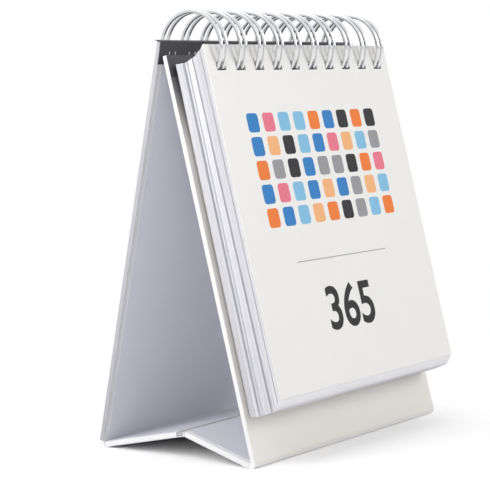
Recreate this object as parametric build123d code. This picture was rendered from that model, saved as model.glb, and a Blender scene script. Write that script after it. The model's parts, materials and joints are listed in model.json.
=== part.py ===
from build123d import *
import math
import os

# Easel stand: four paper-wrapped greyboard panels, folded along three paper hinges.
stand_width = 136.4
base_depth = 75.4
front_panel_length = 157.7
front_lean = 15.05
back_rise = 5.4
fold_offset = -4.2
fold_height = 8.6
board_thickness = 1.8
paper_thickness = 0.15
liner_thickness = 0.12
turn_in = 15.0
liner_inset = 2.4
flat_fold_gap = 0.3
hinge_clearance = 0.3
fold_joint_gap = 3.2
crease_radius = 1.7
foot_flat = 0.12
apex_clearance = 0.9

# Dark edge strip folded over the top of the back panel, with pairs of punched holes.
strip_thickness = 0.35
strip_leg = 9.0
strip_overhang = 0.2
strip_reach = 0.6
punch_diameter = 1.4
punch_spacing = 3.7
punch_offset = 3.3
punch_drop = 4.6

# Twin-loop binding wire: hairpin loops on one continuous wire, closed behind the back panel.
loop_count = 10
loop_pitch = 12.7
ring_radius = 14.2
wire_diameter = 1.4
prong_spacing = 3.5
ring_setback = 6.3
ring_rise = 1.0
root_angle = -6.0
seam_length = 5.2
slot_width = 6.3
panel_slot_height = 5.0
leaf_slot_height = 2.4

# Leaves: a cover sheet and three stacks, hung on the front of the ring.
leaf_width = 131.4
leaf_height = 136.5
hole_margin = 8.6
rear_stack = 2.8
middle_stack = 8.2
front_stack = 3.5
cover_thickness = 0.4
stack_gap = 0.3
cover_gap = 0.15

# Panel layers, counted outwards from the hinge plane that two panels share.
liner_face = flat_fold_gap / 2
turn_in_face = liner_face + liner_thickness
board_face = turn_in_face + paper_thickness
board_back = board_face + board_thickness
outer_face = board_back + paper_thickness
hinge_radius = outer_face


def direction(angle):
    """Unit vector in the side view, counted from the rear horizontal towards upright."""
    turn = math.radians(angle)
    return Vector(0, math.cos(turn), math.sin(turn))


def angle_of(vector):
    return math.degrees(math.atan2(vector.Z, vector.Y))


# Hinge axes in the side view, and the angle of each panel from the rear horizontal.
hinge_height = hinge_radius - foot_flat
front_axis = Vector(0, hinge_radius - base_depth / 2, hinge_height)
rear_axis = Vector(0, base_depth / 2 - hinge_radius, hinge_height)
fold_axis = Vector(0, fold_offset, fold_height)

front_angle = 90 - front_lean
front_top = front_axis + direction(front_angle) * front_panel_length
front_top_corner = front_top + direction(front_angle + 90) * liner_face
to_corner = front_top_corner - rear_axis
apex_room = strip_thickness + apex_clearance - liner_face
back_angle = angle_of(to_corner) - math.degrees(math.asin(apex_room / to_corner.length))

# The back panel stands above the front panel's top edge, and is cut to a tenth of a millimetre.
apex_reach = math.sqrt(to_corner.length ** 2 - apex_room ** 2)
back_panel_length = round(apex_reach + back_rise, 1)

# A base panel has its upper face on its edge hinge and its underside on the middle fold.
base_step = liner_face + outer_face
front_reach = fold_axis - front_axis
rear_reach = fold_axis - rear_axis
front_base_angle = angle_of(front_reach) + math.degrees(math.asin(base_step / front_reach.length))
rear_base_angle = angle_of(rear_reach) - math.degrees(math.asin(base_step / rear_reach.length))
front_base_length = math.sqrt(front_reach.length ** 2 - base_step ** 2)
rear_base_length = math.sqrt(rear_reach.length ** 2 - base_step ** 2)

# The ring centre lies in front of the front panel, a little above its top edge.
panel_middle = (liner_face + outer_face) / 2
ring_offset = direction(front_angle + 90) * (panel_middle + ring_setback)
ring_axis = front_top + ring_offset + direction(front_angle) * ring_rise
loop_places = [(i - (loop_count - 1) / 2) * loop_pitch for i in range(loop_count)]
punch_places = [x + punch_offset for x in loop_places]


def panel_plane(axis, along, outward):
    """Panel frame: local y runs up the panel from its hinge, local z points outwards."""
    run = direction(along)
    normal = direction(outward)
    return Plane(origin=axis, x_dir=run.cross(normal), z_dir=normal)


front_plane = panel_plane(front_axis, front_angle, front_angle + 90)
back_plane = panel_plane(rear_axis, back_angle, back_angle - 90)
front_base_plane = panel_plane(front_axis, front_base_angle, front_base_angle - 90)
rear_base_plane = panel_plane(rear_axis, rear_base_angle, rear_base_angle + 90)
leaf_plane = Plane(origin=ring_axis, x_dir=direction(front_angle + 90), z_dir=(1, 0, 0))


def slab(plane, width, start, end, inner, outer, x=0):
    size = (width, end - start, outer - inner)
    block = Box(*size, align=(Align.CENTER, Align.MIN, Align.MIN))
    return plane * Pos(x, start, inner) * block


def panel(plane, start, end, has_top):
    """Greyboard, its wrap paper with turned-in edges, and the liner over the turn-ins."""
    top_wrap = paper_thickness if has_top else 0
    top_turn = turn_in if has_top else 0
    top_inset = liner_inset if has_top else 0
    board_width = stand_width - 2 * paper_thickness
    board = slab(plane, board_width, start, end - top_wrap, board_face, board_back)
    window = slab(plane, stand_width - 2 * turn_in, start, end - top_turn, turn_in_face, board_face)
    wrap = slab(plane, stand_width, start, end, turn_in_face, outer_face) - board - window
    sheet = slab(plane, stand_width - 2 * liner_inset, start, end - top_inset, liner_face, turn_in_face)
    return board, wrap, sheet + window


def ring_height(plane):
    """Where the ring axis stands along a panel, and how far it is from the panel's middle."""
    place = plane.to_local_coords(ring_axis)
    return place.Y, abs(place.Z - panel_middle)


def wire_slots(plane):
    """Upright slots where the loops pass through a panel."""
    height, distance = ring_height(plane)
    centre = height - math.sqrt(ring_radius ** 2 - distance ** 2)
    start = centre - panel_slot_height / 2
    depth = 2 * outer_face
    return [slab(plane, slot_width, start, start + panel_slot_height, -depth, depth, x) for x in loop_places]


def wedge(centre, radius, start_angle, end_angle):
    """Folded paper round a hinge axis: a sector in the side view, run across the stand."""
    middle_angle = (start_angle + end_angle) / 2
    first, middle, last = [centre + direction(a) * radius for a in (start_angle, middle_angle, end_angle)]
    outline = Wire([Line(centre, first), ThreePointArc(first, middle, last), Line(last, centre)])
    return extrude(Face(outline), stand_width / 2, dir=(1, 0, 0), both=True)


def edge_hinge(centre, start_angle, end_angle):
    """Outer fold of the wrap paper, flattened where it stands on the table."""
    floor_cut = Box(2 * stand_width, base_depth, hinge_radius, align=(Align.CENTER, Align.CENTER, Align.MAX))
    return wedge(centre, hinge_radius, start_angle, end_angle) - Pos(0, centre.Y, 0) * floor_cut


def edge_strip():
    """Angle strip: one punched leg on the panel's inner face, one lip over its top edge."""
    width = stand_width + 2 * strip_reach
    seat = back_panel_length
    top = seat + strip_thickness
    leg = slab(back_plane, width, top - strip_leg, top, liner_face - strip_thickness, liner_face)
    lip = slab(back_plane, width, seat, top, liner_face, outer_face + strip_overhang)
    glue_step = slab(back_plane, width, seat - liner_inset, seat, liner_face, turn_in_face)
    drill = Cylinder(punch_diameter / 2, 2 * strip_thickness)
    spots = [x + side * punch_spacing / 2 for x in punch_places for side in (-1, 1)]
    holes = [back_plane * Pos(x, top - punch_drop, liner_face - strip_thickness) * drill for x in spots]
    return leg + lip + glue_step - holes


def leaf_stack(inner, thickness):
    """Leaves between two planes: their top and bottom edges step along the ring's arc."""
    outer = inner + thickness
    middle = (inner + outer) / 2

    def edge_point(n, drop):
        return leaf_plane.from_local_coords(Vector(n, math.sqrt(ring_radius ** 2 - n ** 2) + drop, 0))

    top = [edge_point(n, -hole_margin) for n in (inner, middle, outer)]
    bottom = [edge_point(n, leaf_height - hole_margin) for n in (outer, middle, inner)]
    outline = Wire(
        [
            ThreePointArc(*top),
            Line(top[2], bottom[0]),
            ThreePointArc(*bottom),
            Line(bottom[2], top[0]),
        ]
    )
    block = extrude(Face(outline), leaf_width / 2, dir=(1, 0, 0), both=True)
    return block - leaf_channels()


def leaf_channels():
    """Ring-shaped channels, so that a stack turning about the ring stays clear of the wire."""
    reach = leaf_slot_height / 2
    section = Circle(ring_radius + reach) - Circle(ring_radius - reach)
    ring = extrude(section, slot_width / 2, both=True)
    frame = Plane(origin=ring_axis, x_dir=(0, 1, 0), z_dir=(1, 0, 0))
    return [frame * Pos(0, 0, x) * ring for x in loop_places]


def ring_point(x, angle):
    return ring_axis + direction(angle) * ring_radius + Vector(x, 0, 0)


def prong(x, start, end):
    """One leg of a loop: an arc round the ring, in three spans."""
    span_count = 3
    step = (end - start) / (2 * span_count)
    marks = [ring_point(x, start + i * step) for i in range(2 * span_count + 1)]
    return [ThreePointArc(*marks[2 * i:2 * i + 3]) for i in range(span_count)]


def bend(x_from, x_to, angle, sense):
    """Half-round bend between two legs, lying flat against the ring at its end."""
    radius = (x_to - x_from) / 2
    crown = ring_point(x_from + radius, angle) + direction(angle + 90) * sense * radius
    return ThreePointArc(ring_point(x_from, angle), crown, ring_point(x_to, angle))


def binding_wire():
    """Hairpin tips and wide roots alternate along one wire, and the tips close near the roots."""
    tip_angle = 360 + root_angle - math.degrees(seam_length / ring_radius)
    half = prong_spacing / 2
    path = []
    for i, x in enumerate(loop_places):
        path += prong(x - half, root_angle, tip_angle)
        path.append(bend(x - half, x + half, tip_angle, 1))
        path += prong(x + half, tip_angle, root_angle)
        if i + 1 < loop_count:
            path.append(bend(x + half, loop_places[i + 1] - half, root_angle, -1))
    line = Wire(path)
    section = Plane(origin=line @ 0, z_dir=line % 0) * Circle(wire_diameter / 2)
    return sweep(section, path=line), line.length * section.area


parts = {}

board, wrap, liner = panel(front_plane, 0, front_panel_length, True)
slots = wire_slots(front_plane)
parts["front_board"] = board - slots
parts["front_wrap_paper"] = wrap - slots
parts["front_liner"] = liner - slots

board, wrap, liner = panel(back_plane, 0, back_panel_length, True)
slots = wire_slots(back_plane)
parts["back_board"] = board - slots
parts["back_wrap_paper"] = wrap - slots
parts["back_liner"] = liner - slots
parts["edge_strip"] = edge_strip()

board, wrap, liner = panel(front_base_plane, hinge_clearance, front_base_length, False)
parts["front_base_board"] = board
parts["front_base_wrap_paper"] = wrap
parts["front_base_liner"] = liner

board, wrap, liner = panel(rear_base_plane, hinge_clearance, rear_base_length - fold_joint_gap, False)
parts["rear_base_board"] = board
parts["rear_base_wrap_paper"] = wrap
parts["rear_base_liner"] = liner

parts["front_edge_hinge"] = edge_hinge(front_axis, front_angle + 90, front_base_angle + 270)
parts["rear_edge_hinge"] = edge_hinge(rear_axis, rear_base_angle + 90, back_angle + 270)
parts["middle_fold_hinge"] = wedge(fold_axis, crease_radius, rear_base_angle - 90, front_base_angle + 90)

wire, wire_volume = binding_wire()
parts["binding_wire"] = wire

stack_start = outer_face - panel_middle - ring_setback + stack_gap
parts["rear_leaves"] = leaf_stack(stack_start, rear_stack)
stack_start += rear_stack + stack_gap
parts["middle_leaves"] = leaf_stack(stack_start, middle_stack)
stack_start += middle_stack + stack_gap
parts["front_leaves"] = leaf_stack(stack_start, front_stack)
stack_start += front_stack + cover_gap
parts["cover_sheet"] = leaf_stack(stack_start, cover_thickness)

# The origin is on the table, under the middle of the whole object.
boxes = [solid.bounding_box() for solid in parts.values()]
front_reach_y = min(box.min.Y for box in boxes)
rear_reach_y = max(box.max.Y for box in boxes)
centring = Vector(0, -(front_reach_y + rear_reach_y) / 2, 0)
os.makedirs("parts", exist_ok=True)
for name, solid in parts.items():
    export_step(Pos(centring) * solid, f"parts/{name}.step")

for name, point in (("front", front_axis), ("rear", rear_axis), ("fold", fold_axis), ("ring", ring_axis)):
    place = point + centring
    print(name, "axis at y", round(place.Y, 3), "z", round(place.Z, 3))
print("panel angles", [round(a, 2) for a in (front_angle, back_angle, front_base_angle, rear_base_angle)])
print("wire volume against section times length", round(wire.volume / wire_volume, 4))
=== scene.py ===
import json
import math

import bmesh
import bpy
from mathutils import Matrix, Vector


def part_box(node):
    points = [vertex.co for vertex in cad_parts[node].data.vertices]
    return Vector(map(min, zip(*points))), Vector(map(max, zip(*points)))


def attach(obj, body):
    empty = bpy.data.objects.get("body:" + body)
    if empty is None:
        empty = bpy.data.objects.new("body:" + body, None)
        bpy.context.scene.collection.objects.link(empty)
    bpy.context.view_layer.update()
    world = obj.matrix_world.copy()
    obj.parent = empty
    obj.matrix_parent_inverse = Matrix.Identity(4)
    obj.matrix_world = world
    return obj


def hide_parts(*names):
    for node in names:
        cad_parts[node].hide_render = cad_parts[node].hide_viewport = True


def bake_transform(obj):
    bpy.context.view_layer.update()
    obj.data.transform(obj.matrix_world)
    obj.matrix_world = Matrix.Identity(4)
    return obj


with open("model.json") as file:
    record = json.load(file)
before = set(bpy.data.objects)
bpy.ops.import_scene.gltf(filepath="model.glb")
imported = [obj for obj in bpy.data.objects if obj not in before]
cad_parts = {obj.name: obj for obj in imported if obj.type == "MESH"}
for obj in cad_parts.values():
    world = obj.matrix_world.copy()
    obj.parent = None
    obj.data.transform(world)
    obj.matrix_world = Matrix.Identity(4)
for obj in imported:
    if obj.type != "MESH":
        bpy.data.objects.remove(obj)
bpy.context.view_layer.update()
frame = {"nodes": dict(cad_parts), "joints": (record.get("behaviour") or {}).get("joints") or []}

mm = 0.001


# node trees: a socket that can be used in sums, and one method that adds any node
class Socket:
    def __init__(self, sheet, link):
        self.sheet = sheet
        self.link = link

    def other(self, name):
        return Socket(self.sheet, self.link.node.outputs[name])

    def sums(self, operation, first, second):
        return self.sheet.node("ShaderNodeMath", {"operation": operation}, {0: first, 1: second})

    def __add__(self, value):
        return self.sums("ADD", self, value)

    def __radd__(self, value):
        return self.sums("ADD", value, self)

    def __sub__(self, value):
        return self.sums("SUBTRACT", self, value)

    def __rsub__(self, value):
        return self.sums("SUBTRACT", value, self)

    def __mul__(self, value):
        return self.sums("MULTIPLY", self, value)

    def __rmul__(self, value):
        return self.sums("MULTIPLY", value, self)

    def __truediv__(self, value):
        return self.sums("DIVIDE", self, value)

    def __pow__(self, value):
        return self.sums("POWER", self, value)

    def __gt__(self, value):
        return self.sums("GREATER_THAN", self, value)

    def __lt__(self, value):
        return self.sums("LESS_THAN", self, value)


class Sheet:
    def __init__(self, tree):
        self.tree = tree

    def node(self, kind, settings=None, sockets=None, out=0):
        # settings come first, since some decide which sockets there are; a list links several values
        made = self.tree.nodes.new(kind)
        for key, value in (settings or {}).items():
            setattr(made, key, value)
        for key, value in (sockets or {}).items():
            for item in value if isinstance(value, list) else [value]:
                if isinstance(item, Socket):
                    self.tree.links.new(item.link, made.inputs[key])
                else:
                    made.inputs[key].default_value = item
        return Socket(self, made.outputs[out]) if made.outputs else made


# side view of the stand: panel angles counted from the rear horizontal
stand = {
    "frontAngle": 74.95,
    "backAngle": 100.68,
    "frontBaseAngle": 16.08,
    "rearBaseAngle": 167.27,
}
hinges = {joint["name"]: Vector(joint["pos_m"]) for joint in frame["joints"]}
ringAxis = hinges["leaf_turn"]
frontAxis = hinges["front_base_fold"]
rearAxis = hinges["rear_base_fold"]


def direction(angle):
    turn = math.radians(angle)
    return Vector((0, math.cos(turn), math.sin(turn)))


def placeOf(origin, along, side):
    # local y runs along the piece, local z points a quarter turn to that side
    across = Vector((side, 0, 0))
    out = direction(along + 90 * side)
    columns = Matrix((across, direction(along), out)).transposed().to_4x4()
    return Matrix.Translation(origin) @ columns


def spanOf(nodeName, place):
    # a node's extent in a place's own axes, in millimetres
    back = place.inverted()
    points = [back @ vertex.co for vertex in frame["nodes"][nodeName].data.vertices]
    low = [min(point[i] for point in points) / mm for i in range(3)]
    high = [max(point[i] for point in points) / mm for i in range(3)]
    return Vector(low), Vector(high)


frontPlace = placeOf(frontAxis, stand["frontAngle"], 1)
backPlace = placeOf(rearAxis, stand["backAngle"], -1)
frontBasePlace = placeOf(frontAxis, stand["frontBaseAngle"], -1)
rearBasePlace = placeOf(rearAxis, stand["rearBaseAngle"], 1)
leafPlace = placeOf(ringAxis, stand["frontAngle"] + 180, -1)


def linkedObject(name, data):
    made = bpy.data.objects.new(name, data)
    bpy.context.scene.collection.objects.link(made)
    return made


def solidMesh(source):
    # evaluated copy of an object as a plain mesh; the source object is removed
    graph = bpy.context.evaluated_depsgraph_get()
    graph.update()
    mesh = bpy.data.meshes.new_from_object(source.evaluated_get(graph))
    bpy.data.objects.remove(source)
    return mesh


def finishPiece(name, mesh, place, finish, body, nodes=(), sharpFrom=0):
    # smooth apart from edges of more than sharpFrom degrees, or flat at 0
    # a piece with no body is not attached to one
    mesh.transform(place @ Matrix.Scale(mm, 4))
    mesh.name = name
    if sharpFrom:
        mesh.shade_smooth()
        mesh.set_sharp_from_angle(angle=math.radians(sharpFrom))
    else:
        mesh.shade_flat()
    piece = linkedObject(name, mesh)
    mesh.materials.clear()
    mesh.materials.append(finish)
    if body:
        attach(piece, body)
    if nodes:
        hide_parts(*nodes)
    return piece


# finishes
def newFinish(name):
    finish = bpy.data.materials.new(name)
    finish.use_nodes = True
    sheet = Sheet(finish.node_tree)
    shader = finish.node_tree.nodes["Principled BSDF"]
    return finish, sheet, shader


def feed(sheet, shader, **values):
    # baseColor feeds the socket called Base Color
    for key, value in values.items():
        name = key[0].upper() + "".join(" " + c if c.isupper() else c for c in key[1:])
        if isinstance(value, Socket):
            sheet.tree.links.new(value.link, shader.inputs[name])
        else:
            shader.inputs[name].default_value = value


def noise(sheet, where, scale, detail=3.0, roughness=0.55):
    values = {"Vector": where, "Scale": scale, "Detail": detail, "Roughness": roughness}
    return sheet.node("ShaderNodeTexNoise", None, values)


def mixColour(sheet, factor, first, second):
    settings = {"data_type": "RGBA"}
    colours = [value if isinstance(value, Socket) else (*value, 1.0) for value in (first, second)]
    return sheet.node("ShaderNodeMix", settings, {0: factor, 6: colours[0], 7: colours[1]}, out=2)


def alongAxis(sheet, where, axis):
    settings = {"operation": "DOT_PRODUCT"}
    return sheet.node("ShaderNodeVectorMath", settings, {0: where, 1: axis}, out="Value")


def smoothRise(sheet, value, start, reach):
    # 0 up to the start, 1 past the reach
    settings = {"interpolation_type": "SMOOTHSTEP"}
    return sheet.node("ShaderNodeMapRange", settings, {0: value, 1: start, 2: start + reach})


paperGrain = {
    "fibreDetail": 4.0,
    "fibreRoughness": 0.7,
    "cloudDetail": 2.0,
    "roughSpread": 0.16,
    "bumpDepth": 0.0002,
    "coatRoughness": 0.35,
}


def paperFinish(name, look, faceTintAndShade=None, place=None, edgeShade=None):
    # fine fibres, faint clouding and a soft sheen
    # a warm tone with painted shade may lie on a panel's outer face, and painted shade on its side edges
    finish, sheet, shader = newFinish(name)
    where = sheet.node("ShaderNodeTexCoord", out="Object")
    fibre = noise(
        sheet, where, look["fibreScale"], paperGrain["fibreDetail"], paperGrain["fibreRoughness"]
    )
    cloud = noise(sheet, where, look["cloudScale"], paperGrain["cloudDetail"])
    tone = fibre * look["fibreTone"] + cloud * (1 - look["fibreTone"])
    colour = mixColour(sheet, tone, look["shade"], look["colour"])
    # warm paper tone on the outer face, made darker as painted shade from the leaf block above it
    if faceTintAndShade:
        outward = place.to_3x3().col[2]
        face = outward.dot(place.translation) + faceTintAndShade["depth"] * mm
        onFace = alongAxis(sheet, where, outward) > face
        tinted = mixColour(sheet, tone, faceTintAndShade["shade"], faceTintAndShade["colour"])
        # painted shade: the face grows darker towards its top, under the dark band, unevenly
        upward = place.to_3x3().col[1]
        start = upward.dot(place.translation) + faceTintAndShade["paintedShadeFrom"] * mm
        rub = smoothRise(sheet, alongAxis(sheet, where, upward), start, faceTintAndShade["paintedShadeReach"] * mm)
        uneven = faceTintAndShade["paintedShadeLeast"] + fibre * faceTintAndShade["paintedShadeSpread"]
        tinted = mixColour(sheet, rub * uneven, tinted, faceTintAndShade["rub"])
        colour = mixColour(sheet, onFace, colour, tinted)
    # painted shade: the side edges are darkened, unevenly
    if edgeShade:
        across = sheet.node("ShaderNodeSeparateXYZ", None, {0: where}, out=0)
        fromMiddle = sheet.node("ShaderNodeMath", {"operation": "ABSOLUTE"}, {0: across})
        onEdge = fromMiddle > edgeShade["from"] * mm
        uneven = edgeShade["least"] + cloud * edgeShade["spread"]
        colour = mixColour(sheet, onEdge * uneven, colour, edgeShade["colour"])
    rough = look["roughness"] + (fibre - 0.5) * paperGrain["roughSpread"]
    bump = sheet.node(
        "ShaderNodeBump", None,
        {"Strength": look["bump"], "Distance": paperGrain["bumpDepth"], "Height": fibre},
    )
    feed(sheet, shader, baseColor=colour, roughness=rough, normal=bump)
    feed(sheet, shader, coatWeight=look["coat"], coatRoughness=paperGrain["coatRoughness"])
    return finish


wrapLook = {
    "colour": (0.86, 0.86, 0.855),
    "shade": (0.79, 0.79, 0.79),
    "fibreScale": 1500.0,
    "cloudScale": 45.0,
    "fibreTone": 0.45,
    "roughness": 0.5,
    "bump": 0.12,
    "coat": 0.08,
}
# the front face: a warm paper tone darkened as painted shade, with painted shade below the dark band at
# its top
warmShadedFace = {
    "colour": (0.80, 0.775, 0.735),
    "shade": (0.745, 0.72, 0.68),
    "depth": 2.1,
    "rub": (0.10, 0.10, 0.105),  # painted shade at the top of the face, thinning out below it
    "paintedShadeFrom": 118.0,
    "paintedShadeReach": 33.0,
    "paintedShadeLeast": 0.8,
    "paintedShadeSpread": 0.3,
}
# painted shade: the back panel's side edges are darkened, unevenly
paintedEdgeShade = {"colour": (0.44, 0.44, 0.465), "from": 67.95, "least": 0.75, "spread": 0.5}
# the liner's lavender cast is a painted shade tint; the paper itself is white
linerLook = dict(
    wrapLook, colour=(0.85, 0.85, 0.905), shade=(0.79, 0.79, 0.85), roughness=0.62, coat=0.0
)
# painted shade: the base liners are the same liner made darker, as they lie in shade inside the stand
shadedBaseLinerLook = dict(linerLook, colour=(0.68, 0.68, 0.725), shade=(0.62, 0.62, 0.67))
leafLook = dict(
    wrapLook, colour=(0.875, 0.875, 0.90), shade=(0.83, 0.83, 0.86), roughness=0.72, coat=0.0
)
coverLook = dict(
    wrapLook, colour=(0.83, 0.825, 0.80), shade=(0.79, 0.785, 0.76), roughness=0.42, coat=0.15
)
boardLook = {
    "colour": (0.44, 0.42, 0.39),
    "shade": (0.28, 0.27, 0.25),
    "fibreScale": 900.0,
    "cloudScale": 160.0,
    "fibreTone": 0.6,
    "roughness": 0.85,
    "bump": 0.5,
    "coat": 0.0,
}
stripLook = {
    "colour": (0.075, 0.075, 0.085),
    "shade": (0.03, 0.03, 0.036),
    "fibreScale": 1100.0,
    "cloudScale": 90.0,
    "fibreTone": 0.7,
    "roughness": 0.55,
    "bump": 0.35,
    "coat": 0.05,
}
wrapPaper = paperFinish("wrapPaper", wrapLook)
warmShadedWrap = paperFinish("warmShadedWrap", wrapLook, warmShadedFace, frontPlace)
edgeShadedWrap = paperFinish("edgeShadedWrap", wrapLook, edgeShade=paintedEdgeShade)
linerPaper = paperFinish("linerPaper", linerLook)
shadedBaseLinerPaper = paperFinish("shadedBaseLinerPaper", shadedBaseLinerLook)
leafPaper = paperFinish("leafPaper", leafLook)
coverCard = paperFinish("coverCard", coverLook)
greyBoard = paperFinish("greyBoard", boardLook)
darkStrip = paperFinish("darkStrip", stripLook)

wireLook = {
    "colour": (0.86, 0.865, 0.875),
    "shade": (0.72, 0.725, 0.74),
    "roughness": 0.09,
    "roughSpread": 0.12,
    "scuffScale": 420.0,
    "scuffDetail": 5.0,
    "scuffRoughness": 0.65,
}


def wireFinish(name, look):
    # bright plated wire with faint scuffs
    finish, sheet, shader = newFinish(name)
    where = sheet.node("ShaderNodeTexCoord", out="Object")
    scuff = noise(sheet, where, look["scuffScale"], look["scuffDetail"], look["scuffRoughness"])
    colour = mixColour(sheet, scuff, look["shade"], look["colour"])
    rough = look["roughness"] + scuff * look["roughSpread"]
    feed(sheet, shader, baseColor=colour, roughness=rough, metallic=1.0)
    return finish


brightWire = wireFinish("brightWire", wireLook)
inkLook = {"roughness": 0.55, "roughSpread": 0.1, "mottleScale": 700.0, "worn": 0.03, "gloss": 0.2}


def inkFinish(name, look, colour=None):
    # printed colour, a little uneven where the ink soaks in
    finish, sheet, shader = newFinish(name)
    where = sheet.node("ShaderNodeTexCoord", out="Object")
    mottle = noise(sheet, where, look["mottleScale"])
    tint = colour or sheet.node("ShaderNodeAttribute", {"attribute_name": "tint"}, out="Color")
    soaked = mixColour(sheet, mottle * look["worn"], tint, coverLook["colour"])
    feed(sheet, shader, baseColor=soaked, roughness=look["roughness"] + mottle * look["roughSpread"])
    shader.inputs["Specular IOR Level"].default_value = look["gloss"]
    return finish


print("finishes made")


# wrapped panels: a rounded slab of paper round each board, with slots where the wire passes
wrapShape = {
    "corner": 0.5,
    "edge": 0.32,
    "tuck": 0.25,
    "slotWidth": 6.6,
    "slotHeight": 5.3,
    "slotCorner": 0.4,
    "bevelSteps": 3,
    "sharpFrom": 35,
}
binding = {
    "loops": 10,
    "pitch": 12.7,
    "radius": 14.2,
    "wire": 1.4,
    "prongSpacing": 3.5,
    "rootAngle": -6.0,
    "tipAngle": 333.0,
    "prongSteps": 72,
    "bendSteps": 14,
    "wireSides": 14,
    "sharpFrom": 180,
}
loopPlaces = [(i - (binding["loops"] - 1) / 2) * binding["pitch"] for i in range(binding["loops"])]


def roundedBox(centre, width, height, radius, steps=4):
    # outline with round corners, run anticlockwise
    corners = [(1, 1, 0), (-1, 1, 90), (-1, -1, 180), (1, -1, 270)]
    points = []
    for sideX, sideY, start in corners:
        middleX = centre[0] + sideX * (width / 2 - radius)
        middleY = centre[1] + sideY * (height / 2 - radius)
        for step in range(steps + 1):
            turn = math.radians(start + 90 * step / steps)
            points.append((middleX + radius * math.cos(turn), middleY + radius * math.sin(turn)))
    return points


def roundedSlab(name, outline, holes, low, high, edge):
    # flat curve with round edges, made a mesh; z runs from low to high
    curve = bpy.data.curves.new(name, "CURVE")
    curve.dimensions = "2D"
    curve.fill_mode = "BOTH"
    curve.extrude = (high - low) / 2 - edge
    curve.bevel_depth = edge
    curve.bevel_resolution = wrapShape["bevelSteps"]
    curve.offset = -edge
    for points in [outline] + [list(reversed(hole)) for hole in holes]:
        spline = curve.splines.new("POLY")
        spline.points.add(len(points) - 1)
        for target, (x, y) in zip(spline.points, points):
            target.co = (x, y, 0, 1)
        spline.use_cyclic_u = True
    mesh = solidMesh(linkedObject(name, curve))
    mesh.transform(Matrix.Translation((0, 0, (low + high) / 2)))
    return mesh


def wrappedPanel(name, node, place, body, finish, hasSlots):
    low, high = spanOf(node, place)
    low.y -= wrapShape["tuck"]
    width = high.x - low.x
    centre = (0, (low.y + high.y) / 2)
    outline = roundedBox(centre, width, high.y - low.y, wrapShape["corner"])
    holes = []
    if hasSlots:
        # each slot lies where the ring crosses the middle of the panel's thickness
        ring = place.inverted() @ ringAxis / mm
        distance = ring.z - (low.z + high.z) / 2
        drop = math.sqrt(binding["radius"] ** 2 - distance ** 2)
        slotBox = (wrapShape["slotWidth"], wrapShape["slotHeight"], wrapShape["slotCorner"])
        holes = [roundedBox((x, ring.y - drop), *slotBox) for x in loopPlaces]
    mesh = roundedSlab(name, outline, holes, low.z, high.z, wrapShape["edge"])
    finishPiece(name, mesh, place, finish, body, [node], wrapShape["sharpFrom"])


wrappedPanel("frontPanelWrap", "front_wrap_paper", frontPlace, "front_panel", warmShadedWrap, True)
wrappedPanel("backPanelWrap", "back_wrap_paper", backPlace, "back_panel", edgeShadedWrap, True)
wrappedPanel("frontBaseWrap", "front_base_wrap_paper", frontBasePlace, "front_base", wrapPaper, False)
wrappedPanel("rearBaseWrap", "rear_base_wrap_paper", rearBasePlace, "rear_base", wrapPaper, False)
print("panels wrapped")


# a dark band along the top of the front panel's face, behind the leaves, standing in as painted shade for
# the narrow gap there
topShadeBand = {"height": 8.4, "thickness": 0.1, "inset": 0.1, "corner": 0.2, "edge": 0.03}


def frontTopShadeBand():
    low, high = spanOf("front_wrap_paper", frontPlace)
    centre = (0, high.y - topShadeBand["inset"] - topShadeBand["height"] / 2)
    width = high.x - low.x - 2 * topShadeBand["inset"]
    outline = roundedBox(centre, width, topShadeBand["height"], topShadeBand["corner"])
    start = high.z - topShadeBand["edge"]
    mesh = roundedSlab("frontTopShadeBand", outline, [], start, high.z + topShadeBand["thickness"], topShadeBand["edge"])
    finishPiece("frontTopShadeBand", mesh, frontPlace, darkStrip, "front_panel")


frontTopShadeBand()


# folded paper at the front and rear edges, bent round the axis between the panels it joins
foldPaper = {
    "thickness": 0.17,
    "lift": 0.03,
    "lap": 3.0,
    "steps": 20,
    "lapSteps": 3,
    "heart": 0.12,
    "bendShare": 0.3,
    "sharpFrom": 40,
}
wrapRadius = spanOf("front_wrap_paper", frontPlace)[1].z


def crossStrip(outer, inner, width):
    # closed band between two lines in the side view, run across the stand
    count = len(outer)
    points = []
    for x in (-width / 2, width / 2):
        points += [Vector((x, p.y, p.z)) for p in outer + inner]
    right = 2 * count
    faces = []
    for i in range(count - 1):
        faces.append((i, i + 1, right + i + 1, right + i))
        faces.append((right + count + i, right + count + i + 1, count + i + 1, count + i))
        faces.append((i + 1, i, count + i, count + i + 1))
        faces.append((right + i, right + i + 1, right + count + i + 1, right + count + i))
    for i in (0, count - 1):
        ends = (i, right + i, right + count + i, count + i)
        faces.append(ends if i == 0 else tuple(reversed(ends)))
    mesh = bpy.data.meshes.new("strip")
    mesh.from_pydata(points, [], faces)
    return mesh


def recalculated(mesh):
    work = bmesh.new()
    work.from_mesh(mesh)
    bmesh.ops.recalc_face_normals(work, faces=work.faces)
    work.to_mesh(mesh)
    work.free()
    return mesh


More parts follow.
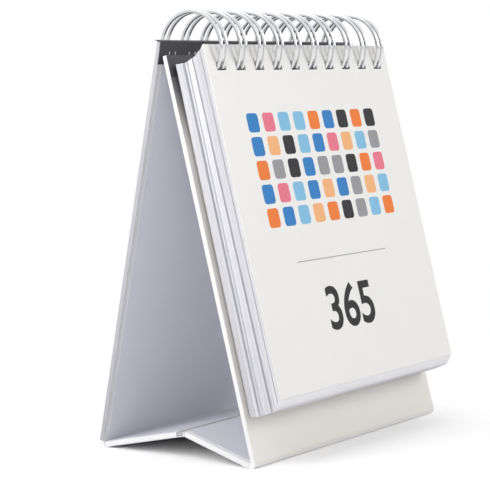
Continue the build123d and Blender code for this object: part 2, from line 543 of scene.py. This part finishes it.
def edgeFold(name, node, axis, panelAngle, panelSide, baseAngle, finish):
    # outer and inner line of the paper: a lap on the panel, the bend round the axis, a lap on the base
    low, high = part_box(node)
    radius = wrapRadius + foldPaper["lift"]
    start = panelAngle + 90 * panelSide
    end = baseAngle + (270 if panelSide > 0 else -270)
    lines = []
    for away, core in ((radius, radius), (radius - foldPaper["thickness"], foldPaper["heart"])):
        line = []
        for step in range(foldPaper["lapSteps"] + 1):
            reach = foldPaper["lap"] * (1 - step / foldPaper["lapSteps"])
            line.append(direction(start) * away + direction(panelAngle) * reach)
        for step in range(1, foldPaper["steps"]):
            line.append(direction(start + (end - start) * step / foldPaper["steps"]) * core)
        for step in range(foldPaper["lapSteps"] + 1):
            reach = foldPaper["lap"] * step / foldPaper["lapSteps"]
            line.append(direction(end) * away + direction(baseAngle) * reach)
        lines.append(line)
    # the paper rests on the table and doesn't go below it
    floor = -axis.z / mm
    for line, lift in zip(lines, (0.0, foldPaper["thickness"])):
        for point in line:
            point.z = max(point.z, floor + lift)
    mesh = recalculated(crossStrip(lines[0], lines[1], (high.x - low.x) / mm))
    place = Matrix.Translation(axis)
    piece = finishPiece(name, mesh, place, finish, None, [node], foldPaper["sharpFrom"])
    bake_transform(piece)


edgeFold(
    "frontEdgeFold", "front_edge_hinge", frontAxis,
    stand["frontAngle"], 1, stand["frontBaseAngle"], warmShadedWrap,
)
edgeFold(
    "rearEdgeFold", "rear_edge_hinge", rearAxis,
    stand["backAngle"], -1, stand["rearBaseAngle"], wrapPaper,
)
print("edge folds made")


# paper that bridges the open joint at the middle of the base, under the fold
jointPaper = {"thickness": 0.3, "gap": 0.05, "lap": 0.25, "corner": 0.1, "edge": 0.05, "inset": 0.1}


def middleJointPaper():
    low, high = spanOf("rear_base_wrap_paper", rearBasePlace)
    fold = spanOf("middle_fold_hinge", rearBasePlace)[0].y
    start = high.y + jointPaper["gap"]
    end = fold + jointPaper["lap"]
    width = high.x - low.x - 2 * jointPaper["inset"]
    outline = roundedBox((0, (start + end) / 2), width, end - start, jointPaper["corner"])
    under = high.z - jointPaper["thickness"]
    mesh = roundedSlab("middleJointPaper", outline, [], under, high.z, jointPaper["edge"])
    finishPiece("middleJointPaper", mesh, rearBasePlace, wrapPaper, "front_base")
    print("joint paper", round(end - start, 2), "mm wide")


middleJointPaper()


# trees of repeated shapes, sized in millimetres
def geometryTree(name, inputs):
    tree = bpy.data.node_groups.new(name, "GeometryNodeTree")
    tree.interface.new_socket(name="Geometry", in_out="OUTPUT", socket_type="NodeSocketGeometry")
    tree.interface.new_socket(name="Geometry", in_out="INPUT", socket_type="NodeSocketGeometry")
    for label, kind in inputs:
        tree.interface.new_socket(name=label, in_out="INPUT", socket_type="NodeSocket" + kind)
    sheet = Sheet(tree)
    given = sheet.node("NodeGroupInput")
    labels = ["Geometry"] + [label for label, kind in inputs]
    return tree, sheet, {label: given.other(label) for label in labels}


def endTree(sheet, shape, finish):
    real = sheet.node("GeometryNodeRealizeInstances", None, {0: shape})
    painted = sheet.node("GeometryNodeSetMaterial", None, {"Geometry": real, "Material": finish})
    sheet.node("NodeGroupOutput", None, {0: painted})


def grown(tree, name, values, data=None):
    # runs a tree on a scratch object and gives the result as a plain mesh
    scratch = linkedObject(name, data or bpy.data.meshes.new(name))
    modifier = scratch.modifiers.new("grow", "NODES")
    modifier.node_group = tree
    for item in tree.interface.items_tree:
        if item.in_out == "INPUT" and item.name in values:
            modifier[item.identifier] = values[item.name]
    return solidMesh(scratch)


def vectorOf(sheet, x=0.0, y=0.0, z=0.0):
    return sheet.node("ShaderNodeCombineXYZ", None, {0: x, 1: y, 2: z})


def randomValue(sheet, low, high, seed):
    values = {2: low, 3: high, "Seed": seed}
    return sheet.node("FunctionNodeRandomValue", {"data_type": "FLOAT"}, values, out=1)


weldDistance = 0.0005


def thickened(sheet, face, thickness):
    # a flat face raised by a thickness and closed underneath
    raised = sheet.node(
        "GeometryNodeExtrudeMesh", None, {"Mesh": face, "Offset Scale": thickness, "Individual": False}
    )
    under = sheet.node("GeometryNodeFlipFaces", None, {0: face})
    joined = sheet.node("GeometryNodeJoinGeometry", None, {0: [raised, under]})
    return sheet.node("GeometryNodeMergeByDistance", None, {"Geometry": joined, "Distance": weldDistance})


leafInputs = [
    ("Leaf Width", "Float"),
    ("Leaf Height", "Float"),
    ("Leaf Thickness", "Float"),
    ("Hole Width", "Float"),
    ("Hole Height", "Float"),
    ("Hole Margin", "Float"),
    ("Loop Pitch", "Float"),
    ("Loop Count", "Int"),
    ("Leaf Count", "Int"),
    ("Top Low", "Float"),
    ("Top High", "Float"),
    ("Bottom Low", "Float"),
    ("Bottom High", "Float"),
    ("Shift", "Float"),
    ("Ring Radius", "Float"),
    ("Stray", "Float"),
    ("Turn", "Float"),
    ("Seed", "Int"),
    ("Finish", "Material"),
]


# how much of a leaf's stray may lift it, and how much may drop it
strayUp = 0.7
strayDown = 0.4


def leafTree():
    # punched sheets hung one behind the other on the ring, each a hair out of line
    tree, sheet, size = geometryTree("leafStack", leafInputs)
    outline = sheet.node(
        "GeometryNodeCurvePrimitiveQuadrilateral", None, {0: size["Leaf Width"], 1: size["Leaf Height"]}
    )
    hung = sheet.node(
        "GeometryNodeTransform", None,
        {"Geometry": outline, "Translation": vectorOf(sheet, 0.0, size["Leaf Height"] / 2)},
    )
    hole = sheet.node(
        "GeometryNodeCurvePrimitiveQuadrilateral", None, {0: size["Hole Width"], 1: size["Hole Height"]}
    )
    firstHole = (size["Loop Count"] - 1) * size["Loop Pitch"] * -0.5
    row = sheet.node(
        "GeometryNodeMeshLine", None,
        {
            "Count": size["Loop Count"],
            "Start Location": vectorOf(sheet, firstHole, size["Hole Margin"]),
            "Offset": vectorOf(sheet, size["Loop Pitch"]),
        },
    )
    holes = sheet.node("GeometryNodeInstanceOnPoints", None, {"Points": row, "Instance": hole})
    punched = sheet.node("GeometryNodeJoinGeometry", None, {0: [hung, holes]})
    cut = sheet.node("GeometryNodeRealizeInstances", None, {0: punched})
    face = sheet.node("GeometryNodeFillCurve", None, {"Curve": cut})
    leaf = thickened(sheet, face, size["Leaf Thickness"])
    stack = sheet.node("GeometryNodeMeshLine", None, {"Count": size["Leaf Count"]})
    # just under one, so that a single leaf doesn't divide by nothing
    share = sheet.node("GeometryNodeInputIndex") / (size["Leaf Count"] - 0.999)
    depth = size["Top Low"] + (size["Top High"] - size["Top Low"]) * share
    foot = size["Bottom Low"] + (size["Bottom High"] - size["Bottom Low"]) * share
    hang = (size["Ring Radius"] * size["Ring Radius"] - depth * depth) ** 0.5 - size["Hole Margin"]
    strayX = randomValue(sheet, size["Stray"] * -1.0, size["Stray"], size["Seed"])
    strayY = randomValue(sheet, size["Stray"] * -strayUp, size["Stray"] * strayDown, size["Seed"] + 1)
    placed = sheet.node(
        "GeometryNodeSetPosition", None,
        {"Geometry": stack, "Position": vectorOf(sheet, size["Shift"] + strayX, hang + strayY, depth)},
    )
    turn = randomValue(sheet, size["Turn"] * -1.0, size["Turn"], size["Seed"] + 2)
    lean = (foot - depth) / size["Leaf Height"]
    leaves = sheet.node(
        "GeometryNodeInstanceOnPoints", None,
        {"Points": placed, "Instance": leaf, "Rotation": vectorOf(sheet, lean, 0.0, turn)},
    )
    endTree(sheet, leaves, size["Finish"])
    return tree


# leaves stand a pitch apart at the wide end of a bundle, and no closer than closest at the narrow end
leafShape = {
    "pitch": 0.14,
    "closest": 0.08,
    "thickness": 0.075,
    "holeWidth": 6.3,
    "holeHeight": 3.2,
    "holeMargin": 8.6,
    "seed": 3,
    "seedStep": 7,
    "coverSeed": 1,
}
# bundles: how far in front of the ring axis they lie at the top and at the bottom,
# and a shift to one side
leafGroups = {
    "rearLeaves": {
        "node": "rear_leaves",
        "body": "rear_leaf_block",
        "bundles": [{"top": (-3.9, -2.4), "bottom": (-4.8, -2.6), "shift": -0.25}],
    },
    "middleLeaves": {
        "node": "middle_leaves",
        "body": "middle_leaf_block",
        "bundles": [
            {"top": (-2.1, -0.45), "bottom": (-1.75, -0.55), "shift": 0.3},
            {"top": (0.55, 1.35), "bottom": (0.05, 1.05), "shift": -0.2},
            {"top": (2.15, 4.2), "bottom": (1.65, 5.2), "shift": 0.15},
        ],
    },
    "frontLeaves": {
        "node": "front_leaves",
        "body": "front_leaf_block",
        "bundles": [
            {"top": (4.75, 6.35), "bottom": (6.15, 7.85), "shift": -0.15},
            {"top": (6.85, 8.35), "bottom": (8.2, 8.95), "shift": 0.2},
            {"top": (8.75, 10.1), "bottom": (9.35, 10.1), "shift": -0.05},
        ],
    },
}
loose = {"stray": 0.09, "turn": 0.0006}
still = {"stray": 0.0, "turn": 0.0}
coverLow, coverHigh = spanOf("cover_sheet", leafPlace)
coverMiddle = (coverLow.z + coverHigh.z) / 2
coverTop = math.sqrt(binding["radius"] ** 2 - coverMiddle ** 2) - leafShape["holeMargin"]
coverWidth = coverHigh.x - coverLow.x
leafHeight = round(coverHigh.y - coverTop, 1)
leafMaker = leafTree()


def leafValues(width, count, thickness, bundle, ease, seed, finish):
    return {
        "Leaf Width": width,
        "Leaf Height": leafHeight,
        "Leaf Thickness": thickness,
        "Hole Width": leafShape["holeWidth"],
        "Hole Height": leafShape["holeHeight"],
        "Hole Margin": leafShape["holeMargin"],
        "Loop Pitch": binding["pitch"],
        "Loop Count": binding["loops"],
        "Leaf Count": count,
        "Top Low": bundle["top"][0],
        "Top High": bundle["top"][1],
        "Bottom Low": bundle["bottom"][0],
        "Bottom High": bundle["bottom"][1],
        "Shift": bundle["shift"],
        "Ring Radius": binding["radius"],
        "Stray": ease["stray"],
        "Turn": ease["turn"],
        "Seed": seed,
        "Finish": finish,
    }


def joinedMeshes(meshes):
    work = bmesh.new()
    for mesh in meshes:
        work.from_mesh(mesh)
    joined = bpy.data.meshes.new("joined")
    work.to_mesh(joined)
    work.free()
    return joined


seed = leafShape["seed"]
for name, group in leafGroups.items():
    bundles = []
    for bundle in group["bundles"]:
        seed += leafShape["seedStep"]
        depths = [bundle[end][1] - bundle[end][0] for end in ("top", "bottom")]
        count = int(min(max(depths) / leafShape["pitch"], min(depths) / leafShape["closest"]))
        values = leafValues(coverWidth, count, leafShape["thickness"], bundle, loose, seed, leafPaper)
        bundles.append(grown(leafMaker, name, values))
    mesh = joinedMeshes(bundles)
    finishPiece(name, mesh, leafPlace, leafPaper, group["body"], [group["node"]])
    print(name, "hung in", len(bundles), "bundles")

coverHang = {"top": (coverLow.z, coverLow.z), "bottom": (coverLow.z, coverLow.z), "shift": 0.0}
coverThickness = coverHigh.z - coverLow.z
coverSeed = leafShape["coverSeed"]
coverValues = leafValues(coverWidth, 1, coverThickness, coverHang, still, coverSeed, coverCard)
coverMesh = grown(leafMaker, "coverSheet", coverValues)
finishPiece("coverSheet", coverMesh, leafPlace, coverCard, "cover_leaf", ["cover_sheet"])
print("cover hung")


# twin-loop wire: one path of prongs and half-round bends, given its thickness by a tree
def wirePath():
    radius = binding["radius"]
    half = binding["prongSpacing"] / 2
    root = binding["rootAngle"]
    tip = binding["tipAngle"]
    points = []

    def onRing(x, angle):
        return direction(angle) * radius + Vector((x, 0, 0))

    def addProng(x, start, end):
        for step in range(binding["prongSteps"] + 1):
            points.append(onRing(x, start + (end - start) * step / binding["prongSteps"]))

    def addBend(xFrom, xTo, angle, sense):
        # half circle past the ends of two prongs
        reach = (xTo - xFrom) / 2
        for step in range(1, binding["bendSteps"]):
            turn = math.pi * step / binding["bendSteps"]
            sideways = Vector((reach * (1 - math.cos(turn)), 0, 0))
            onward = direction(angle + 90) * sense * reach * math.sin(turn)
            points.append(onRing(xFrom, angle) + sideways + onward)

    for i, x in enumerate(loopPlaces):
        addProng(x - half, root, tip)
        addBend(x - half, x + half, tip, 1)
        addProng(x + half, tip, root)
        if i + 1 < len(loopPlaces):
            addBend(x + half, loopPlaces[i + 1] - half, root, -1)
    return points


def wireTree():
    inputs = [("Wire Radius", "Float"), ("Sides", "Int"), ("Finish", "Material")]
    tree, sheet, size = geometryTree("bindingWire", inputs)
    section = sheet.node(
        "GeometryNodeCurvePrimitiveCircle", None,
        {"Resolution": size["Sides"], "Radius": size["Wire Radius"]},
    )
    tube = sheet.node(
        "GeometryNodeCurveToMesh", None,
        {"Curve": size["Geometry"], "Profile Curve": section, "Fill Caps": True},
    )
    endTree(sheet, tube, size["Finish"])
    return tree


wireLine = bpy.data.curves.new("wireLine", "CURVE")
wireLine.dimensions = "3D"
wireSpline = wireLine.splines.new("POLY")
wirePoints = wirePath()
wireSpline.points.add(len(wirePoints) - 1)
for target, point in zip(wireSpline.points, wirePoints):
    target.co = (*point, 1)
wireValues = {"Wire Radius": binding["wire"] / 2, "Sides": binding["wireSides"], "Finish": brightWire}
wireMesh = recalculated(grown(wireTree(), "bindingWire", wireValues, wireLine))
finishPiece(
    "bindingWire", wireMesh, Matrix.Translation(ringAxis), brightWire,
    "front_panel", ["binding_wire"], binding["sharpFrom"],
)
print("wire wound:", len(wirePoints), "points")


# print on the cover: a plain grid of coloured tiles, a rule and a plain number
tileGrid = {
    "columns": 9,
    "rows": 5,
    "pitchX": 10.7,
    "pitchY": 9.4,
    "size": 7.6,
    "corner": 1.5,
    "cornerSteps": 4,
    "ink": 0.04,
    "middle": (-1.5, 51.0),
    "seed": 11,
}
tileColours = [
    (0.84, 0.20, 0.03),
    (0.02, 0.20, 0.52),
    (0.78, 0.18, 0.26),
    (0.22, 0.50, 0.72),
    (0.30, 0.30, 0.32),
    (0.88, 0.45, 0.20),
    (0.012, 0.012, 0.015),
]
tileInputs = [
    ("Columns", "Int"),
    ("Rows", "Int"),
    ("Pitch X", "Float"),
    ("Pitch Y", "Float"),
    ("Size", "Float"),
    ("Corner", "Float"),
    ("Corner Steps", "Int"),
    ("Ink", "Float"),
    ("Seed", "Int"),
    ("Finish", "Material"),
]


def tileTree():
    # rounded squares of ink, half sunk in the cover, each in one of the colours
    tree, sheet, size = geometryTree("tileGrid", tileInputs)
    square = sheet.node(
        "GeometryNodeCurvePrimitiveQuadrilateral", None, {0: size["Size"], 1: size["Size"]}
    )
    soft = sheet.node(
        "GeometryNodeFilletCurve", {"mode": "POLY"},
        {"Curve": square, "Count": size["Corner Steps"], "Radius": size["Corner"]},
    )
    face = sheet.node("GeometryNodeFillCurve", None, {"Curve": soft})
    sunk = vectorOf(sheet, 0.0, 0.0, size["Ink"] * -0.5)
    tile = sheet.node(
        "GeometryNodeTransform", None,
        {"Geometry": thickened(sheet, face, size["Ink"]), "Translation": sunk},
    )
    grid = sheet.node(
        "GeometryNodeMeshGrid", None,
        {
            "Size X": (size["Columns"] - 1) * size["Pitch X"],
            "Size Y": (size["Rows"] - 1) * size["Pitch Y"],
            "Vertices X": size["Columns"],
            "Vertices Y": size["Rows"],
        },
    )
    pick = sheet.node(
        "FunctionNodeRandomValue", {"data_type": "INT"},
        {4: 0, 5: len(tileColours) - 1, "Seed": size["Seed"]}, out=2,
    )
    chooser = sheet.tree.nodes.new("GeometryNodeIndexSwitch")
    chooser.data_type = "RGBA"
    while len(chooser.index_switch_items) < len(tileColours):
        chooser.index_switch_items.new()
    for i, colour in enumerate(tileColours):
        chooser.inputs[i + 1].default_value = (*colour, 1.0)
    sheet.tree.links.new(pick.link, chooser.inputs[0])
    tiles = sheet.node("GeometryNodeInstanceOnPoints", None, {"Points": grid, "Instance": tile})
    tinted = sheet.node(
        "GeometryNodeStoreNamedAttribute", {"data_type": "FLOAT_COLOR", "domain": "INSTANCE"},
        {"Geometry": tiles, "Name": "tint", "Value": Socket(sheet, chooser.outputs[0])},
    )
    endTree(sheet, tinted, size["Finish"])
    return tree


def onCover(x, y):
    # upright on the cover's face, x to the right of its middle and y down from the ring's axis
    lift = Matrix.Translation((0, 0, coverHigh.z * mm))
    turned = Matrix.Rotation(math.pi, 4, "Z")
    return leafPlace @ lift @ Matrix.Translation((-x * mm, y * mm, 0)) @ turned


tileInk = inkFinish("tileInk", inkLook)
tileValues = {
    "Columns": tileGrid["columns"],
    "Rows": tileGrid["rows"],
    "Pitch X": tileGrid["pitchX"],
    "Pitch Y": tileGrid["pitchY"],
    "Size": tileGrid["size"],
    "Corner": tileGrid["corner"],
    "Corner Steps": tileGrid["cornerSteps"],
    "Ink": tileGrid["ink"],
    "Seed": tileGrid["seed"],
    "Finish": tileInk,
}
tileMesh = grown(tileTree(), "coverTiles", tileValues)
finishPiece("coverTiles", tileMesh, onCover(*tileGrid["middle"]), tileInk, "cover_leaf")

bigNumber = {
    "text": "365",
    "height": 24.0,
    "middle": (-4.0, 109.0),
    "ink": 0.01,
    "weight": 0.45,
    "colour": (0.008, 0.008, 0.01),
}
ruleLine = {
    "width": 66.0,
    "height": 0.35,
    "middle": (-2.0, 88.0),
    "ink": 0.02,
    "corner": 0.1,
    "cornerSteps": 2,
    "edge": 0.004,
    "colour": (0.30, 0.30, 0.31),
}
numberInk = inkFinish("numberInk", inkLook, bigNumber["colour"])
ruleInk = inkFinish("ruleInk", inkLook, ruleLine["colour"])
lettering = bpy.data.curves.new("bigNumber", "FONT")
lettering.body = bigNumber["text"]
lettering.align_x = "CENTER"
lettering.align_y = "CENTER"
lettering.size = bigNumber["height"]
lettering.offset = bigNumber["weight"]
lettering.extrude = bigNumber["ink"]
numberMesh = solidMesh(linkedObject("coverNumber", lettering))
finishPiece(
    "coverNumber", numberMesh, onCover(*bigNumber["middle"]), numberInk, "cover_leaf"
)
ruleOutline = roundedBox(
    (0, 0), ruleLine["width"], ruleLine["height"], ruleLine["corner"], ruleLine["cornerSteps"]
)
ruleMesh = roundedSlab("coverRule", ruleOutline, [], -ruleLine["ink"], ruleLine["ink"], ruleLine["edge"])
finishPiece("coverRule", ruleMesh, onCover(*ruleLine["middle"]), ruleInk, "cover_leaf")
print("cover printed")


# nodes that keep their own shape
nodeFinishes = {
    "front_board": greyBoard,
    "back_board": greyBoard,
    "front_base_board": greyBoard,
    "rear_base_board": greyBoard,
    "front_liner": linerPaper,
    "back_liner": linerPaper,
    "front_base_liner": shadedBaseLinerPaper,
    "rear_base_liner": shadedBaseLinerPaper,
    "middle_fold_hinge": wrapPaper,
    "edge_strip": darkStrip,
}
for nodeName, finish in nodeFinishes.items():
    mesh = frame["nodes"][nodeName].data
    mesh.materials.clear()
    mesh.materials.append(finish)
print("nodes finished")


# floor, light and camera
studio = {
    "floorSize": 12.0,
    "floorColour": (0.86, 0.86, 0.87),
    "floorSeen": (1.08, 1.08, 1.08),
    "shadowMiddle": (-0.035, -0.01, 0.0),
    "shadowReach": 0.075,
    "shadowFade": 0.06,
    "worldLight": 0.46,
    "horizonLow": 0.04,
    "horizonHigh": 0.34,
    "horizonDip": 0.62,
    "worldColour": (0.96, 0.97, 1.0),
    "lampAim": (0.0, 0.0, 0.08),
}


def largest(sheet, first, second):
    return sheet.node("ShaderNodeMath", {"operation": "MAXIMUM"}, {0: first, 1: second})


def studioFloor():
    half = studio["floorSize"] / 2
    corners = [(-half, -half, 0), (half, -half, 0), (half, half, 0), (-half, half, 0)]
    mesh = bpy.data.meshes.new("studioFloor")
    mesh.from_pydata(corners, [], [(0, 1, 2, 3)])
    floor = linkedObject("studioFloor", mesh)
    finish = bpy.data.materials.new("studioFloor")
    finish.use_nodes = True
    finish.node_tree.nodes.clear()
    sheet = Sheet(finish.node_tree)
    path = sheet.node("ShaderNodeLightPath", out="Is Camera Ray")
    colour = mixColour(sheet, path, studio["floorColour"], studio["floorSeen"])
    matt = sheet.node("ShaderNodeBsdfDiffuse", None, {"Color": colour})
    white = sheet.node("ShaderNodeEmission", None, {"Color": (1.0, 1.0, 1.0, 1.0), "Strength": 1.0})
    # past the shadow's reach the floor runs out into plain white
    where = sheet.node("ShaderNodeTexCoord", out="Object")
    away = sheet.node(
        "ShaderNodeVectorMath", {"operation": "DISTANCE"},
        {0: where, 1: studio["shadowMiddle"]}, out="Value",
    )
    faded = smoothRise(sheet, away, studio["shadowReach"], studio["shadowFade"])
    seen = largest(sheet, path, path.other("Is Glossy Ray"))
    surface = sheet.node("ShaderNodeMixShader", None, {0: seen * faded, 1: matt, 2: white})
    sheet.node("ShaderNodeOutputMaterial", None, {"Surface": surface})
    mesh.materials.append(finish)


def studioWorld():
    world = bpy.data.worlds.new("studioWorld")
    world.use_nodes = True
    world.node_tree.nodes.clear()
    sheet = Sheet(world.node_tree)
    path = sheet.node("ShaderNodeLightPath", out="Is Camera Ray")
    glossy = path.other("Is Glossy Ray")
    # metal sees a white studio with a darker band above the horizon
    ray = sheet.node("ShaderNodeTexCoord", out="Generated")
    rise = sheet.node("ShaderNodeSeparateXYZ", None, {0: ray}, out=2)
    band = (rise > studio["horizonLow"]) * (rise < studio["horizonHigh"])
    mirrored = glossy * (1 - band * studio["horizonDip"])
    seen = largest(sheet, path, mirrored)
    strength = studio["worldLight"] + seen * (1 - studio["worldLight"])
    colour = mixColour(sheet, path, studio["worldColour"], (1.0, 1.0, 1.0))
    light = sheet.node("ShaderNodeBackground", None, {"Color": colour, "Strength": strength})
    sheet.node("ShaderNodeOutputWorld", None, {"Surface": light})
    bpy.context.scene.world = world


# a lamp that isn't mirrored lights the paper without showing in the wire
lamps = {
    "sideLamp": {
        "place": (-0.33, 0.08, 0.29),
        "size": 0.42,
        "power": 1.4,
        "colour": (1.0, 0.99, 0.985),
        "mirrored": False,
    },
    "frontLamp": {
        "place": (0.75, -1.1, 0.75),
        "size": 0.7,
        "power": 9.9,
        "colour": (1.0, 0.985, 0.96),
        "mirrored": True,
    },
    "topLamp": {
        "place": (0.1, 0.3, 1.3),
        "size": 0.8,
        "power": 1.5,
        "colour": (0.97, 0.98, 1.0),
        "mirrored": True,
    },
}


def studioLamp(name, look):
    lamp = bpy.data.lights.new(name, "AREA")
    lamp.shape = "SQUARE"
    lamp.size = look["size"]
    lamp.energy = look["power"]
    lamp.color = look["colour"]
    made = linkedObject(name, lamp)
    aim = Vector(studio["lampAim"]) - Vector(look["place"])
    made.location = look["place"]
    made.rotation_euler = aim.to_track_quat("-Z", "Y").to_euler()
    made.visible_glossy = look["mirrored"]


viewpoint = {
    "turn": 54.95,
    "pitch": 5.7,
    "distance": 0.753,
    "target": (-0.021, 0.004865, 0.0789),
    "lens": 137.1,
    "sensor": 36.0,
    "near": 0.01,
}


def studioCamera():
    turn = math.radians(viewpoint["turn"])
    pitch = math.radians(viewpoint["pitch"])
    level = math.cos(pitch)
    away = Vector((-math.sin(turn) * level, -math.cos(turn) * level, math.sin(pitch)))
    camera = bpy.data.cameras.new("camera")
    camera.lens = viewpoint["lens"]
    camera.sensor_width = viewpoint["sensor"]
    camera.clip_start = viewpoint["near"]
    made = linkedObject("camera", camera)
    made.location = Vector(viewpoint["target"]) + away * viewpoint["distance"]
    made.rotation_euler = (-away).to_track_quat("-Z", "Y").to_euler()
    bpy.context.scene.camera = made


studioFloor()
studioWorld()
for lampName, look in lamps.items():
    studioLamp(lampName, look)
studioCamera()
bpy.context.scene.view_settings.view_transform = "Standard"
print("studio set")
